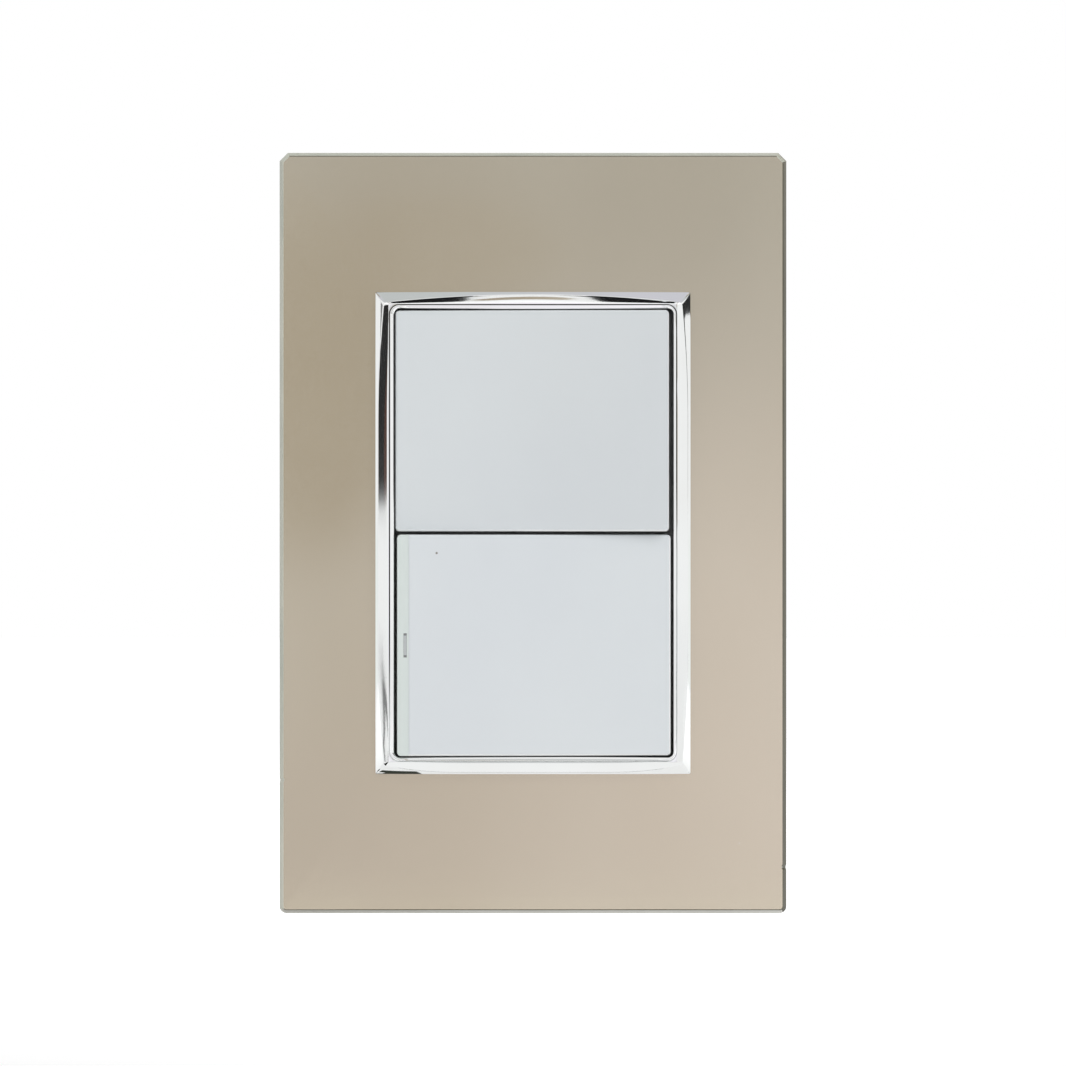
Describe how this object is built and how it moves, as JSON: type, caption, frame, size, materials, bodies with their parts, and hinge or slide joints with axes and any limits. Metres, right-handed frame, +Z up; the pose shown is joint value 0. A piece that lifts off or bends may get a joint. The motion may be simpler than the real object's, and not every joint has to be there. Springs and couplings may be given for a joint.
{
  "type": "double light switch",
  "caption": "Flush double light switch: champagne glass plate, chromed bezel, two large white rockers one above the other, over a yoke with two screw-terminal switch modules.",
  "frame": {"origin": "on the wall plane, midway between the two fixing screws", "axes": "+X to the right as seen from the front, +Y into the wall, +Z up"},
  "size_m": [0.08, 0.0339, 0.12],
  "materials": {
    "painted_glass": "polished glass, painted champagne on its back",
    "chrome_plate": "polished",
    "carrier_plastic": "satin",
    "yoke_plastic": "satin",
    "zinc_steel": "zinc plated",
    "key_plastic": "gloss",
    "shell_plastic": "satin",
    "nylon": "natural nylon",
    "spring_steel": "bright wire",
    "brass_strip": "rolled",
    "silver": "silver alloy",
    "lens_plastic": "clear moulding",
    "lamp_glass": "clear glass"
  },
  "bodies": {
    "base": {"glass_panel": "painted_glass", "chrome_bezel": "chrome_plate", "panel_carrier": "carrier_plastic", "mounting_yoke": "yoke_plastic", "fixing_screws": "zinc_steel", "upper_module_cover": "shell_plastic", "upper_housing": "shell_plastic", "upper_common_terminal": "brass_strip", "upper_load_terminal": "brass_strip", "upper_fixed_contact": "silver", "upper_clamp_plates": "zinc_steel", "upper_terminal_screws": "zinc_steel", "lower_module_cover": "shell_plastic", "lower_housing": "shell_plastic", "lower_common_terminal": "brass_strip", "lower_load_terminal": "brass_strip", "lower_fixed_contact": "silver", "lower_clamp_plates": "zinc_steel", "lower_terminal_screws": "zinc_steel", "lower_pilot_lamp": "lamp_glass"},
    "upper_key": {"upper_rocker": "key_plastic", "upper_plunger_spring": "spring_steel"},
    "upper_pin": {"upper_plunger": "nylon"},
    "upper_seesaw": {"upper_contact_blade": "brass_strip", "upper_moving_contact": "silver"},
    "lower_key": {"lower_rocker": "key_plastic", "lower_plunger_spring": "spring_steel", "lower_indicator_lens": "lens_plastic"},
    "lower_pin": {"lower_plunger": "nylon"},
    "lower_seesaw": {"lower_contact_blade": "brass_strip", "lower_moving_contact": "silver"}
  },
  "joints": [
    {"name": "upper_rock", "type": "hinge", "parent": "base", "child": "upper_key", "pos_m": [0, -0.0072, 0.01765], "axis": [0, 0, 1], "range_deg": [0, 6]},
    {"name": "upper_plunger_slide", "type": "slide", "parent": "upper_key", "child": "upper_pin", "axis": [-0.0523, -0.9986, 0], "range_m": [0, 0.0009], "stiffness_N_per_m": 300, "springref_m": -0.006, "deforming": ["upper_plunger_spring"]},
    {"name": "upper_seesaw_rock", "type": "hinge", "parent": "base", "child": "upper_seesaw", "pos_m": [0, 0.0096, 0.01765], "axis": [0, 0, 1], "range_deg": [-14, 0]},
    {"name": "lower_rock", "type": "hinge", "parent": "base", "child": "lower_key", "pos_m": [0, -0.0072, -0.01765], "axis": [0, 0, 1], "range_deg": [-6, 0]},
    {"name": "lower_plunger_slide", "type": "slide", "parent": "lower_key", "child": "lower_pin", "axis": [0.0523, -0.9986, 0], "range_m": [0, 0.0009], "stiffness_N_per_m": 300, "springref_m": -0.006, "deforming": ["lower_plunger_spring"]},
    {"name": "lower_seesaw_rock", "type": "hinge", "parent": "base", "child": "lower_seesaw", "pos_m": [0, 0.0096, -0.01765], "axis": [0, 0, 1], "range_deg": [0, 14]}
  ],
  "couplings": [
    {"joint": "upper_seesaw_rock", "follows": "upper_rock", "ratio": -2.3333},
    {"joint": "lower_seesaw_rock", "follows": "lower_rock", "ratio": -2.3333}
  ]
}
